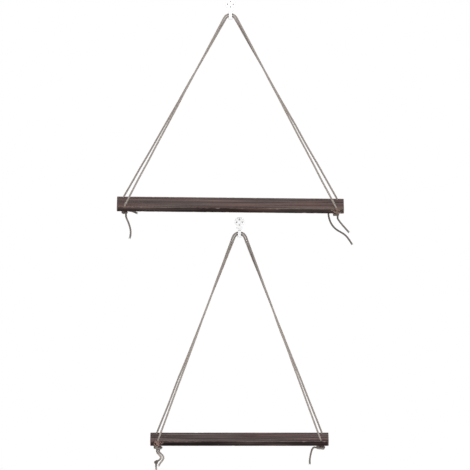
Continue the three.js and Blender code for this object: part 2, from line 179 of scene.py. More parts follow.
def smooth_through(points):
    """A smooth line through every point, slower where the points are close together."""
    ends = [2 * points[0] - points[1], *points, 2 * points[-1] - points[-2]]
    line = []
    for before, start, end, after in zip(ends, ends[1:], ends[2:], ends[3:]):
        gaps = [math.sqrt((b - a).length) for a, b in ((before, start), (start, end), (end, after))]
        leave = (start - before) / gaps[0] - (end - before) / (gaps[0] + gaps[1]) + (end - start) / gaps[1]
        reach = (end - start) / gaps[1] - (after - start) / (gaps[1] + gaps[2]) + (after - end) / gaps[2]
        leave, reach = leave * gaps[1], reach * gaps[1]
        for step in range(steps_between_points):
            t = step / steps_between_points
            line.append(
                start * (2 * t**3 - 3 * t**2 + 1) + leave * (t**3 - 2 * t**2 + t)
                + end * (3 * t**2 - 2 * t**3) + reach * (t**3 - t**2)
            )
    return line + [points[-1]]


def rounded(before, corner, after, radius):
    """The round bend that a tight rope makes at a corner."""
    heading, onward = (corner - before).normalized(), (after - corner).normalized()
    turn = heading.angle(onward)
    start = corner - heading * radius * math.tan(turn / 2)
    inward = (onward - heading * math.cos(turn)).normalized()
    middle = start + inward * radius
    angles = [turn * step / corner_steps for step in range(corner_steps + 1)]
    return [middle - inward * radius * math.cos(a) + heading * radius * math.sin(a) for a in angles]


def evenly(points, spacing=route_spacing):
    """The same line with its points the same distance apart."""
    line = np.array([tuple(point) for point in points])
    steps = np.linalg.norm(np.diff(line, axis=0), axis=1)
    line = line[np.insert(steps > 0, 0, True)]
    along = np.insert(np.cumsum(steps[steps > 0]), 0, 0)
    places = np.linspace(0, along[-1], max(2, round(along[-1] / spacing) + 1))
    return np.column_stack([np.interp(places, along, line[:, axis]) for axis in range(3)])


# %% [markdown]
# The loose ends below the knots are free rope. Their points are chosen from the photograph, in
# millimetres from where each end leaves its knot, the same as in the solids. Where the photograph
# hides an end, its course is a guess.

# %% Loose ends
upper_front_left_end = [
    (0, 0, 0), (0.2, 0, -4), (2.4, -0.6, -10.5), (6, -1.4, -18.5), (9.1, -2.2, -27.5),
    (11.1, -2.8, -37), (11.2, -2.6, -46), (9.8, -2, -54.5),
]
upper_rear_left_end = [
    (0, 0, 0), (0, 0, -4.2), (4, -1, -8), (10.8, -3, -10), (20.5, -5.5, -11.2), (31.5, -8, -15),
]
upper_front_right_end = [
    (0, 0, 0), (0.2, 0, -4), (4.4, -1, -10.5), (11, -2, -18.5), (18.6, -2.5, -27), (26, -2, -35.5),
]
upper_rear_right_end = [
    (0, 0, 0), (-4.5, 0, 0), (-9.5, -1, -3.2), (-11.5, -2, -9.5), (-11, -3, -18), (-9.4, -4, -28),
    (-5.4, -5, -38.5), (1, -6, -48), (9.5, -7, -55.5), (18.5, -8, -60.5), (27, -8, -66),
    (33.8, -7, -73), (39.4, -6, -81), (44.6, -5, -89),
]
lower_rear_left_end = [
    (0, 0, 0), (4.5, 0, 0), (12, -1, -1.4), (21, -3, -4), (31, -6, -7.4),
]
lower_rear_right_end = [
    (0, 0, 0), (-4.5, 0, 0), (-12, 1, -1.2), (-21, 2, -3.6), (-31, 2, -7.2),
]
lower_front_right_end = [
    (0, 0, 0), (-4.5, 0, 0), (-8.6, -1, -5), (-11, -2, -13), (-13, -3, -22.5), (-13.9, -3, -30.5),
    (-13.8, -2, -38),
]
lower_front_left_short_end = [
    (0, 0, 0), (0, 0, -4.5), (5.2, 0, -9.5), (9.2, 0, -14.5), (9.8, 0, -19.5), (6.6, 0, -25.2),
    (2.4, 0, -30.5), (-0.8, 0, -36.5),
]
lower_front_left_run = [
    (0, 0, 0), (0, 0, -4.5), (4.4, 0, -10.5), (8.2, 0, -15), (9, 0, -18.6), (6.6, 0, -22),
    (2.6, 0, -25.2),
]
lower_front_left_long_end = [
    (0, 0, 0), (0, 0, -4.5), (0.4, -1, -13), (1.4, -2, -22), (1.6, -3, -31), (0.8, -3, -40),
]


def placed(points, start):
    """Given millimetres as points in metres from where the end leaves its knot."""
    return [start + Vector(point) * mm for point in points]


# %% [markdown]
# Each rope is tied off under the board. The photograph shows only small dark lumps there, so the
# overhand knot, pulled up tight, is a guess. The rope comes down through the middle, winds outside
# itself and tucks back in before it leaves. Every point is a share of the knot's width or height, so
# one description serves every size.

# %% Knots
core_shares = [(0.0, 0.0, 0.0), (0.05, -0.1, -0.2), (0.16, -0.2, -0.45), (0.3, -0.3, -0.7)]
tuck_shares = [(-0.62, 0.3, -0.2), (-0.36, 0.12, -0.42)]
knot_turns = 1.7
knot_start_turn = -0.12
knot_points_per_turn = 12
knot_loop_sway_share = 0.1  # how much higher a loop runs on one side, as a share of the height
knot_entry_share = 0.78  # how far out the winding begins, as a share of the rim


def knot_route(width, height, exit_point, heading, spin=0.0):
    """From the foot of the hole, through the knot, to where the rope leaves it."""
    rim = (width - rope_diameter) / 2
    low, high = -height + rope_diameter / 2, -rope_diameter / 2
    points = [Vector((x * rim, y * rim, z * height)) for x, y, z in core_shares]
    count = round(knot_turns * knot_points_per_turn)
    for step in range(count + 1):
        share = step / count
        angle = (knot_start_turn + knot_turns * share) * math.tau
        out = rim * (1 - (1 - knot_entry_share) * max(0.0, 1 - share * knot_points_per_turn / 2))
        sway = knot_loop_sway_share * height * math.sin(angle) * math.sin(math.pi * share)
        rise = low + (high - low) * share
        points.append(Vector((out * math.cos(angle), out * math.sin(angle), rise + sway)))
    points += [Vector((x * rim, y * rim, z * height)) for x, y, z in tuck_shares]
    turned = Matrix.Rotation(spin, 3, "Z")
    points = [turned @ point for point in points]
    return points + [exit_point - heading * rope_diameter / 2, exit_point]


def knot_exit(shelf, side_heading=None, shift=0.0):
    """Where an end leaves its knot, and its heading, measured from the foot of the hole."""
    width, height = shelf["knot_width"], shelf["knot_height"]
    if side_heading:
        heading = Vector(side_heading)
        reach = width / 2 + knot_stub + rope_cut_gap
        return Vector((0, 0, -height / 2)) + heading * reach, heading
    heading = Vector((0, 0, -1))
    return Vector((shift, 0, -height - knot_stub - rope_cut_gap)), heading


# %% [markdown]
# A shelf's rope is one length. It comes out of the hook to one side, bends round the hook's tongue,
# runs straight to its hole, turns down through the board and goes into its knot. The other half is
# the same on the other side. A taut jute rope is never quite straight, so the straights get a slight
# wave that dies out before the hook and the hole.

# %% Half a rope
rope_pitch = rope_diameter + rope_pair_gap
hook_bend_radius = 12 * mm
hole_bend_radius = 8 * mm
hole_bend_rise = 1.5 * mm
wave_height = 0.9 * mm
wave_length = 70 * mm
wave_margin = 60 * mm
wave_seed = 1
outer_knot_width = 9.5 * mm
outer_knot_height = 7 * mm
doubled_shift = rope_diameter / 2 + rope_cut_gap
noise.seed_set(wave_seed)  # without it the wave starts from the clock and differs in each run


def waved(line, seed):
    """A straight stretch with a slight wave that starts and ends at nothing."""
    line = evenly(line)
    length = len(line) * route_spacing
    for index, point in enumerate(line):
        along = index * route_spacing
        calm = min(1.0, along / wave_margin, (length - along) / wave_margin)
        place = Vector((along / wave_length, seed, 0))
        sway = noise.noise_vector(place) * wave_height * max(0.0, calm)
        point += np.array((sway.x, sway.y, 0))
    return [Vector(point) for point in line]


def half_rope(name, rope, side_name):
    """The route from the hook to the foot of its hole, and the frame of the knot there."""
    shelf = shelves[name]
    side = -1 if side_name == "left" else 1
    outward = Vector((side, 0, 0))
    low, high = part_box(f"{name}_{rope}_bight")
    seat = Vector((shelf["hook"].x, (low.y + high.y) / 2, (low.z + high.z) / 2))
    hole_x = side * (shelf["length"] / 2 - holes_from_end[rope])
    hole_y = (board_depth / 2 - hole_from_edge) * (-1 if rope == "front" else 1)
    top = shelf["board_frame"] @ Vector((hole_x, hole_y, 0))
    foot = shelf["board_frame"] @ Vector((hole_x, hole_y, -board_thickness))
    low_corner = top + (top - foot).normalized() * hole_bend_rise
    radius = hook_bend_radius + (rope_pitch if rope == "front" else 0)
    high_corner = seat
    for _ in range(corner_passes):
        turn = outward.angle(low_corner - high_corner)
        high_corner = seat + outward * radius * math.tan(turn / 2)
    hook_bend = rounded(seat, high_corner, low_corner, radius)
    hole_bend = rounded(high_corner, low_corner, foot, hole_bend_radius)
    straight = waved([hook_bend[-1], hole_bend[0]], seed=hole_x / mm)
    line = [*hook_bend[:-1], *straight, *hole_bend[1:]]

    under = Vector((hole_x, hole_y, -board_thickness - rope_cut_gap))
    knot_frame = shelf["board_frame"] @ Matrix.Translation(under)
    return line, knot_frame


def through_knot(knot_frame, width, height, exit_point, heading, spin=0.0):
    """A knot's route in the room, smooth from the foot of the hole to the exit."""
    points = knot_route(width, height, exit_point, heading, spin)
    return smooth_through([knot_frame @ point for point in points])


# %% [markdown]
# The lower shelf's front left end is tied a second time: the rope runs on beside its own short end,
# into a small knot, and hangs on below it.

# %% The eight half ropes
leaving = {
    "upper_front_left": {"points": upper_front_left_end, "shift": 3 * mm, "spin": 0.4},
    "upper_rear_left": {"points": upper_rear_left_end, "spin": 1.3},
    "upper_front_right": {"points": upper_front_right_end, "shift": 4 * mm, "spin": 2.6},
    "upper_rear_right": {"points": upper_rear_right_end, "side": (-1, 0, 0), "spin": 0.2},
    "lower_front_left": {"points": lower_front_left_long_end, "spin": 0.9},
    "lower_rear_left": {"points": lower_rear_left_end, "side": (1, 0, 0), "spin": 3.4},
    "lower_front_right": {"points": lower_front_right_end, "side": (-1, 0, 0), "spin": 0.3},
    "lower_rear_right": {"points": lower_rear_right_end, "side": (-1, 0, 0), "spin": 0.5},
}
halves = {}
for place, end in leaving.items():
    name, rope, side_name = place.split("_")
    shelf = shelves[name]
    line, knot_frame = half_rope(name, rope, side_name)
    doubled = place == "lower_front_left"
    shift = -doubled_shift if doubled else end.get("shift", 0.0)
    exit_point, heading = knot_exit(shelf, end.get("side"), shift)
    sizes = (shelf["knot_width"], shelf["knot_height"])
    line += through_knot(knot_frame, *sizes, exit_point, heading, end["spin"])
    if doubled:
        run = placed(lower_front_left_run, exit_point)
        onward = (run[-1] - run[-2]).normalized()
        reach = outer_knot_width / 2 + knot_stub + rope_cut_gap
        lift = Vector((0, 0, outer_knot_height / 2))
        outer_frame = knot_frame @ Matrix.Translation(run[-1] + onward * reach + lift)
        line += smooth_through([knot_frame @ point for point in run])[1:]
        foot = Vector((0, 0, -outer_knot_height - knot_stub - rope_cut_gap))
        line += through_knot(outer_frame, outer_knot_width, outer_knot_height, foot, heading)
        short_exit, heading = knot_exit(shelf, None, doubled_shift)
        short_frame = knot_frame
        knot_frame, exit_point = outer_frame, foot
    loose = [knot_frame @ point for point in placed(end["points"], exit_point)]
    halves[place] = {"line": line, "loose": smooth_through(loose), "exit": loose[0]}
    print(place, "loose end", round(len(evenly(halves[place]["loose"])) * route_spacing / mm), "mm")

# %% [markdown]
# Jute rope is three strands twisted together. They are made here as three tubes that wind about the
# route, pressed a little into each other as real strands are. A curve with a round bevel makes each
# tube. The alternative, a bump map on one smooth tube, loses the stepped outline of real rope. Fine
# loose fibres stand off the strands, and at a bare end the strands open and fray.

# %% Strands
strand_count = 3
lay_length = 13 * mm
strand_radius = 1.2 * mm
strand_offset = rope_diameter / 2 - strand_radius
strand_unevenness = 0.07
unevenness_length = 9 * mm
fray_length = 7 * mm
fray_opening = 0.7
fray_thinning = 0.4


class Rope:
    """A route with the lines of its three strands."""

    def __init__(self, line, fray_start=False, fray_end=False, seed=0):
        self.line = line
        tangents = np.gradient(line, axis=0)
        tangents /= np.linalg.norm(tangents, axis=1)[:, None]
        normal = Vector(tangents[0]).orthogonal().normalized()
        normals = []
        for tangent in tangents:
            along = Vector(tangent)
            normal = (normal - along * normal.dot(along)).normalized()
            normals.append(tuple(normal))
        self.normals = np.array(normals)
        self.sides = np.cross(tangents, self.normals)
        self.tangents = tangents
        steps = np.linalg.norm(np.diff(line, axis=0), axis=1)
        self.along = np.insert(np.cumsum(steps), 0, 0)
        from_start = 1 - self.along / fray_length if fray_start else np.zeros(len(line))
        to_end = self.along[-1] - self.along
        from_end = 1 - to_end / fray_length if fray_end else np.zeros(len(line))
        opening = np.clip(np.maximum(from_start, from_end), 0, 1) ** 2
        self.strands, self.widths = [], []
        for strand in range(strand_count):
            turn = math.tau * (self.along / lay_length + strand / strand_count)
            offset = strand_offset * (1 + fray_opening * opening)
            out = np.cos(turn)[:, None] * self.normals + np.sin(turn)[:, None] * self.sides
            self.strands.append(line + out * offset[:, None])
            wobble = [
                noise.noise(Vector((value / unevenness_length, strand, seed))) for value in self.along
            ]
            self.widths.append(1 + strand_unevenness * np.array(wobble) - fray_thinning * opening)


# %% [markdown]
# The tubes are turned into a mesh straight away. Two facts go along with the mesh for the finish: a
# map that runs round and along each strand at one scale, and how much painted shade a point gets,
# more the deeper it lies between the strands and more near the hook and the knots.

# %% Rope meshes
tube_rings = 2
fibre_radius = 0.08 * mm
fibres_per_metre = 260
fibre_lengths = (2.5 * mm, 5.5 * mm)
fibre_lift = 1.1 * mm
fibre_aside = 0.35  # how far a fibre may stray sideways, as a share of its length
least_share = 0.3  # the least lift of a fibre, and length of a tuft's fibre, as shares of the most
fibre_points = 5
fibre_shares = [step / (fibre_points - 1) for step in range(fibre_points)]
tuft_fibres = 26
tuft_length = 2.6 * mm
tuft_spread = 1.2 * mm
tuft_fan = 0.6  # how far the tips of a tuft fan out, as a share of its spread
crown_depth = 0.3 * mm
shade_fade_share = 0.5  # this far out from a knot or the hook, as a share of the painted shade's reach, the rope has this much painted shade, and more nearer in
shade_darkness = 0.75  # the rope is this dark, and it is darker nearer in
rope_map_name, shade_attribute_name = "along", "painted_shade"


def tubes(lines, widths, radius, rings):
    """Closed tubes along lines of points, as one mesh."""
    curve = bpy.data.curves.new("tubes", "CURVE")
    curve.dimensions = "3D"
    curve.bevel_depth = radius
    curve.bevel_resolution = rings
    curve.use_fill_caps = True
    for line, width in zip(lines, widths):
        spline = curve.splines.new("POLY")
        spline.points.add(len(line) - 1)
        spline.points.foreach_set("co", np.column_stack([line, np.ones(len(line))]).ravel())
        spline.points.foreach_set("radius", np.asarray(width, float))
    holder = linked("tubes", curve)
    graph = bpy.context.evaluated_depsgraph_get()
    mesh = bpy.data.meshes.new_from_object(holder.evaluated_get(graph))
    bpy.data.objects.remove(holder)
    bpy.data.curves.remove(curve)
    return mesh


def loose_fibres(rope, first, last, dice):
    """Lines of fine fibres that lift off the strands along a stretch of rope."""
    count = round((rope.along[last - 1] - rope.along[first]) * fibres_per_metre)
    lines = []
    for _ in range(count):
        index = dice.randrange(first, last)
        turn = dice.uniform(0, math.tau)
        out = rope.normals[index] * math.cos(turn) + rope.sides[index] * math.sin(turn)
        across = rope.sides[index] * math.cos(turn) - rope.normals[index] * math.sin(turn)
        way = dice.choice((-1, 1))
        if min(index - first, last - index) * route_spacing < fibre_lengths[1]:
            way = 1 if index - first < last - index else -1
        ahead = rope.tangents[index] * way + across * dice.uniform(-fibre_aside, fibre_aside)
        length = dice.uniform(*fibre_lengths)
        lift = dice.uniform(least_share, 1) * fibre_lift
        root = rope.line[index] + out * (rope_diameter / 2 - 2 * crown_depth)
        lines.append([
            root + ahead * length * share + out * (2 * crown_depth * share + lift * share**2)
            for share in fibre_shares
        ])
    return lines


def tuft(rope, index, way, dice):
    """The fibres of a cut end, past the last point of the rope."""
    lines = []
    for _ in range(tuft_fibres):
        strand = dice.choice(rope.strands)
        spread = [dice.uniform(-1, 1) for _ in range(2)]
        aside = (rope.normals[index] * spread[0] + rope.sides[index] * spread[1]) * tuft_spread
        start = strand[index] + aside * strand_radius / tuft_spread / 2
        length = tuft_length * dice.uniform(least_share, 1)
        ahead = rope.tangents[index] * way
        lines.append([start + ahead * length * s + aside * tuft_fan * s**2 for s in fibre_shares])
    return lines


def rope_piece(name, stretches, seed, bare_ends=(), shaded_places=()):
    """One object from stretches of rope, each given as a rope with its first and last point.

    Shaded places are points near the hook and the knots, with how far their painted shade reaches.
    """
    dice = random.Random(seed)
    whole = bmesh.new()
    for rope, first, last in stretches:
        mesh = tubes(
            [strand[first:last] for strand in rope.strands],
            [width[first:last] for width in rope.widths],
            strand_radius,
            tube_rings,
        )
        length = (rope.along[last - 1] - rope.along[first]) / (math.tau * strand_radius)
        hairs = loose_fibres(rope, first, last, dice)
        for tip, index, way in bare_ends:
            hairs += tuft(tip, index, way, dice) if tip is rope else []
        hair_mesh = tubes(hairs, [[1] * fibre_points] * len(hairs), fibre_radius, 0)
        for part, scale in ((mesh, length), (hair_mesh, 1)):
            for corner in part.uv_layers[0].data:
                corner.uv = (corner.uv.x, corner.uv.y * scale)
            tree = kdtree.KDTree(last - first)
            for index in range(first, last):
                tree.insert(rope.line[index], index)
            tree.balance()
            # The amount of painted shade at each point: more the deeper it lies between the strands, and
            # more near the hook and the knots.
            painted_shade_layer = part.attributes.new(shade_attribute_name, "FLOAT", "POINT")
            for vertex in part.vertices:
                distance = tree.find(vertex.co)[2]
                depth = (rope_diameter / 2 - crown_depth - distance) / (strand_radius / 2)
                for place, reach in shaded_places:
                    near = (1 - (vertex.co - place).length / reach) / (1 - shade_fade_share)
                    depth = min(1.0, max(depth, shade_darkness * near))
                painted_shade_layer.data[vertex.index].value = max(0.0, depth)
            whole.from_mesh(part)
            bpy.data.meshes.remove(part)
    bmesh.ops.remove_doubles(whole, verts=whole.verts, dist=weld_distance)
    mesh = bpy.data.meshes.new(name)
    whole.to_mesh(mesh)
    whole.free()
    mesh.uv_layers[0].name = rope_map_name
    mesh.shade_smooth()
    piece = linked(name, mesh)
    print(name, len(mesh.polygons), "faces")
    return piece


# %% [markdown]
# Now the ropes are strung. The two halves and their loose ends are one line, so the twist runs
# through unbroken, and the line is parted only where a loose end leaves its last knot. A loose end
# is free rope of a known length. The held part lies in the hook and carries the shelf.

# %% String the ropes
hook_shade_reach = 9 * mm
knot_shade_reach = 16 * mm
seeds = {"left": 10, "right": 20, "held": 30, "short": 40, "short_twist": 9}
rope_pieces = []


def knot_shade_places(*knots):
    """The places round the knots where a rope gets painted shade."""
    middles = [(Vector(low) + Vector(high)) / 2 for low, high in map(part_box, knots)]
    return [(middle, knot_shade_reach) for middle in middles]


def declare_loose(name, knot, shelf_name, seed, rope, first, last, tip, way):
    """A loose end as its own piece, hung from its shelf."""
    piece = rope_piece(
        f"{name}_of_rope", [(rope, first, last)], seed, [(rope, tip, way)], knot_shade_places(knot),
    )
    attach(piece, f"{shelf_name}_shelf")
    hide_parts(name)
    rope_pieces.append(piece)


for number, (name, rope_name) in enumerate((s, r) for s in shelves for r in ("front", "rear")):
    left, right = (halves[f"{name}_{rope_name}_{side}"] for side in ("left", "right"))
    left_loose, right_loose = evenly(left["loose"]), evenly(right["loose"])
    held = evenly(left["line"][::-1] + right["line"][1:])
    line = np.vstack([left_loose[::-1], held[1:-1], right_loose])
    rope = Rope(line, fray_start=True, fray_end=True, seed=number)
    left_exit, right_exit = len(left_loose), len(line) - len(right_loose)
    stretches = [(rope, left_exit - 1, right_exit + 1)]
    replaced = [f"{name}_{rope_name}_bight"]
    for side in ("left", "right"):
        replaced += [f"{name}_{rope_name}_{side}_{part}" for part in ("strand", "knot")]
    left_name = f"{name}_{rope_name}_left_end"
    left_knots, right_knot = [f"{name}_{rope_name}_left_knot"], f"{name}_{rope_name}_right_knot"
    if name == "lower" and rope_name == "front":
        left_name = "lower_front_left_long_end"
        replaced += ["lower_front_left_run", "lower_front_left_end_knot"]
        short_points = placed(lower_front_left_short_end, short_exit)
        short_line = evenly(smooth_through([short_frame @ point for point in short_points]))
        root = short_frame @ Vector((0, 0, -shelves[name]["knot_height"] / 2))
        root_line = evenly([root, Vector(short_line[0])])
        joined = np.vstack([root_line[:-1], short_line])
        short_rope = Rope(joined, fray_end=True, seed=number + seeds["short_twist"])
        stretches.append((short_rope, 0, len(root_line)))
        left_knots.append("lower_front_left_end_knot")
        declare_loose(
            "lower_front_left_short_end", left_knots[0], name, seeds["short"],
            short_rope, len(root_line) - 1, len(short_rope.line), len(short_rope.line) - 1, 1,
        )
    declare_loose(
        left_name, left_knots[-1], name, seeds["left"] + number,
        rope, 0, left_exit, 0, -1,
    )
    declare_loose(
        f"{name}_{rope_name}_right_end", right_knot, name, seeds["right"] + number,
        rope, right_exit, len(line), len(line) - 1, 1,
    )
    low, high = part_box(f"{name}_{rope_name}_bight")
    seat = Vector(low + high) / 2
    # Painted shade where the rope lies in the hook and in its knots.
    shaded_places = [(seat, hook_shade_reach), *knot_shade_places(*left_knots, right_knot)]
    held_seed = seeds["held"] + number
    piece = rope_piece(f"{name}_{rope_name}_rope", stretches, held_seed, shaded_places=shaded_places)
    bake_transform(piece)
    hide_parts(*replaced)
    rope_pieces.append(piece)


# %% [markdown]
# The hook is one plastic moulding: a disc that lies on the wall, a neck with shoulders below it and a
# tongue bent into a narrow J that the two ropes lie in, one on top of the other. The tongue flares at
# its foot. Each of these is a simple closed form. A remesh joins them and a light smoothing gives the
# soft corners and fillets of a real moulding, which separate parts with hard joints would not have.

# %% Hook sizes
disc_radius = 11 * mm
disc_edge = 0.9 * mm
dimple_radius = 1.1 * mm
dimple_depth = 0.35 * mm
neck_half_width = 7 * mm
neck_top = -7 * mm
shoulder_half_width = 6.7 * mm
shoulder_height = -14.5 * mm
neck_foot = -19 * mm
tongue_half_width = 3.5 * mm
throat_height = -27.6 * mm
throat_radius = 2.55 * mm
throat_floor = 5.85 * mm
lip_rise = 9.6 * mm
foot_half_width = 5 * mm
foot_height = 3.7 * mm
foot_tip_rise = 1.2 * mm
foot_tip_height = 0.4 * mm
throat_crown = math.radians(30)
crown_gap = 0.25 * mm
mark_heights = (-2 * mm, -1.6 * mm, 4.6 * mm, 5 * mm)  # a moulding mark on the tongue's front
mark_depth = 1 * mm
pin_circle_radius = 6.5 * mm
pin_hole_radius = 1 * mm
remesh_size = 0.3 * mm
disc_steps = 72
drill_steps = 24
rim_steps = 7
bar_steps = 14
smooth_passes = 6
smooth_strength = 0.5
print("the hook is", round((disc_radius - throat_height + throat_radius + throat_floor) / mm, 1), "mm tall")


def object_from(name, shape):
    """A finished bmesh as an object at the origin."""
    bmesh.ops.recalc_face_normals(shape, faces=shape.faces)
    mesh = bpy.data.meshes.new(name)
    shape.to_mesh(mesh)
    shape.free()
    return linked(name, mesh)


def chain(shape, points):
    """A line of vertices joined by edges, to be spun."""
    corners = [shape.verts.new(point) for point in points]
    return corners + [shape.edges.new(pair) for pair in zip(corners, corners[1:])]


def spun(shape, points, steps):
    """A turned form: its profile goes round the Y axis once."""
    profile = chain(shape, points)
    bmesh.ops.spin(
        shape, geom=profile, cent=(0, 0, 0), axis=(0, 1, 0), angle=math.tau, steps=steps, use_merge=True,
    )
    bmesh.ops.remove_doubles(shape, verts=shape.verts, dist=weld_distance)


def arc(middle, radius, start, end, steps):
    """Points on an arc in the plane that looks along X, as (y, z)."""
    angles = [start + (end - start) * step / steps for step in range(steps + 1)]
    return [(middle[0] + radius * math.cos(a), middle[1] + radius * math.sin(a)) for a in angles]


def plate(shape, outline, thrust, slices=1):
    """A flat outline pushed out into a closed bar, slice by slice. Gives back its corners."""
    face = shape.faces.new([shape.verts.new(point) for point in outline])
    corners = list(face.verts)
    for number in range(slices):
        pushed = bmesh.ops.extrude_face_region(shape, geom=[face], use_keep_orig=number == 0)["geom"]
        moved = [item for item in pushed if isinstance(item, bmesh.types.BMVert)]
        face = next(item for item in pushed if isinstance(item, bmesh.types.BMFace))
        bmesh.ops.translate(shape, verts=moved, vec=Vector(thrust) / slices)
        corners += moved
    return corners


def applied(made):
    """The object's mesh with its modifiers worked in."""
    graph = bpy.context.evaluated_depsgraph_get()
    mesh = bpy.data.meshes.new_from_object(made.evaluated_get(graph))
    made.modifiers.clear()
    old, made.data = made.data, mesh
    bpy.data.meshes.remove(old)
    return made


# %% [markdown]
# The disc is turned: a profile with a round front edge and a small dimple is spun about the axis
# that points out of the wall. The neck is a flat plate, so its outline is drawn once and pushed
# forwards. Both are closed by themselves, which the remesh needs later on.

# %% Disc and neck
def add_disc(shape):
    """The disc, with a round edge and a small dimple in the middle."""
    rim_middle = (-hook_wall + disc_edge, disc_radius - disc_edge)
    rim = arc(rim_middle, disc_edge, math.pi, math.pi / 2, rim_steps)
    dimple_floor = -hook_wall + dimple_depth
    profile = [
        (dimple_floor, 0), (dimple_floor, dimple_radius / 2), (-hook_wall, dimple_radius),
        *rim, (0, disc_radius), (0, 0),
    ]
    spun(shape, [Vector((0, y, z)) for y, z in profile], disc_steps)


def add_neck(shape):
    """The neck, as wide as its shoulders and then narrow where the tongue goes on."""
    side = [
        (neck_half_width, neck_top), (shoulder_half_width, shoulder_height), (tongue_half_width, neck_foot),
    ]
    outline = side + [(-x, z) for x, z in reversed(side)]
    plate(shape, [(x, 0, z) for x, z in outline], (0, -hook_wall, 0))


# %% [markdown]
# The floor of the throat is crowned: it falls away to both sides, so that the ropes can rock on it
# as the shelf swings. The foot is a crescent as seen from the front, and the tongue's round underside
# cuts it off at the front and the back.

# %% Tongue and foot
def add_tongue(shape):
    """The tongue down the wall, under the throat and up to the lip, and the flare at its foot."""
    middle_y = -throat_radius - hook_wall
    outer_radius = throat_radius + hook_wall
    underside = throat_height - throat_radius - throat_floor
    outer = (middle_y, underside + outer_radius)
    throat = (middle_y, throat_height)
    tip = (middle_y - outer_radius + hook_wall / 2, throat_height + lip_rise - hook_wall / 2)
    front = middle_y - outer_radius
    marked = [(front, throat_height + height) for height in mark_heights]
    outline = [
        (0, neck_top),
        *arc(outer, outer_radius, 0, -math.pi, 2 * bar_steps),
        *marked,
        *arc(tip, hook_wall / 2, math.pi, 0, bar_steps),
        *arc(throat, throat_radius, -math.pi, 0, 2 * bar_steps),
        (-hook_wall, neck_top),
    ]
    bar = plate(
        shape, [(-tongue_half_width, y, z) for y, z in outline], (2 * tongue_half_width, 0, 0), bar_steps,
    )
    for corner in bar:
        from_throat = math.hypot(corner.co.y - throat[0], corner.co.z - throat[1])
        if corner.co.z < throat_height and from_throat < throat_radius + crown_gap:
            corner.co.z -= abs(corner.co.x) * math.tan(throat_crown) + crown_gap
        in_mark = mark_heights[0] < corner.co.z - throat_height < mark_heights[-1]
        on_front = corner.co.y < front + mark_depth
        if in_mark and on_front and abs(corner.co.x) < tongue_half_width / bar_steps:
            corner.co.y += mark_depth

    tip_top = underside + foot_tip_rise + foot_tip_height
    across = [foot_half_width * (2 * step / bar_steps - 1) for step in range(bar_steps + 1)]
    crescent = [
        (foot_half_width, tip_top), (tongue_half_width, underside + foot_height),
        (-tongue_half_width, underside + foot_height), (-foot_half_width, tip_top),
        *((x, underside + foot_tip_rise * (x / foot_half_width) ** 2) for x in across),
    ]
    reach = math.sqrt(outer_radius**2 - (outer[1] - tip_top) ** 2)
    foot = plate(shape, [(x, middle_y - reach, z) for x, z in crescent], (0, 2 * reach, 0), bar_steps)
    for corner in foot:
        depth = corner.co.y - middle_y
        corner.co.z = max(corner.co.z, outer[1] - math.sqrt(outer_radius**2 - depth**2))


# %% [markdown]
# One hook is moulded, and both shelves get a copy. A first remesh joins the three forms, a boolean
# drills the four pin holes, and a second remesh makes the rims of the holes part of the moulding, so
# that the smoothing softens them as well.

# %% Mould a hook
pin_places = {
    "top": (0, pin_circle_radius),
    "right": (pin_circle_radius, 0),
    "bottom": (0, -pin_circle_radius),
    "left": (-pin_circle_radius, 0),
}
shape = bmesh.new()
for add_form in (add_disc, add_neck, add_tongue):
    add_form(shape)
plain_hook = object_from("plain_hook", shape)
drill = bmesh.new()
for x, z in pin_places.values():
    turned = Matrix.Translation((x, 0, z)) @ Matrix.Rotation(math.pi / 2, 4, "X")
    bmesh.ops.create_cone(
        drill, cap_ends=True, segments=drill_steps, radius1=pin_hole_radius, radius2=pin_hole_radius,
        depth=4 * hook_wall, matrix=turned,
    )
drill = object_from("drill", drill)
fuse = plain_hook.modifiers.new("fuse", "REMESH")
fuse.mode, fuse.voxel_size = "VOXEL", remesh_size
cut = plain_hook.modifiers.new("cut", "BOOLEAN")
cut.object, cut.solver = drill, "EXACT"
again = plain_hook.modifiers.new("again", "REMESH")
again.mode, again.voxel_size = "VOXEL", remesh_size
soften = plain_hook.modifiers.new("soften", "SMOOTH")
soften.factor, soften.iterations = smooth_strength, smooth_passes
applied(plain_hook)
bpy.data.objects.remove(drill)
print("one hook has", len(plain_hook.data.polygons), "faces")

hook_pieces = []
for name, shelf in shelves.items():
    mesh = plain_hook.data.copy()
    mesh.transform(Matrix.Translation(shelf["hook"]))
    mesh.shade_smooth()
    hook = linked(f"{name}_moulded_hook", mesh)
    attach(hook, "wall_hooks")
    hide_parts(f"{name}_hook")
    hook_pieces.append(hook)
bpy.data.objects.remove(plain_hook)

# %% [markdown]
# Four thin steel pins nail each disc to the wall. A pin is a turned form, so its profile is spun: a
# low domed head, a straight shank and a point.

# %% Pins
pin_radius = 0.7 * mm
pin_head_radius = 1.4 * mm
pin_head_height = 1 * mm
pin_head_gap = 0.3 * mm
pin_bite = 14 * mm
pin_point = 3 * mm
dome_steps = 6
pin_steps = 28
head_rim = 0.3 * mm


def pin_piece(name, place):
    """One pin, with its head outside the disc and its point in the wall."""
    back = -hook_wall - pin_head_gap
    shape = bmesh.new()
    turns = [math.pi / 2 * step / dome_steps for step in range(dome_steps + 1)]
    dome = pin_head_height - head_rim
    profile = [
        *(Vector((0, back - head_rim - dome * math.cos(a), pin_head_radius * math.sin(a))) for a in turns),
        Vector((0, back - head_rim / 2, pin_head_radius)),
        Vector((0, back, pin_head_radius - head_rim / 2)),
        Vector((0, back, pin_radius)),
        Vector((0, pin_bite - pin_point, pin_radius)),
        Vector((0, pin_bite, 0)),
    ]
    spun(shape, profile, pin_steps)
    bmesh.ops.translate(shape, verts=shape.verts, vec=place)
    piece = object_from(name, shape)
    piece.data.shade_smooth()
    return piece


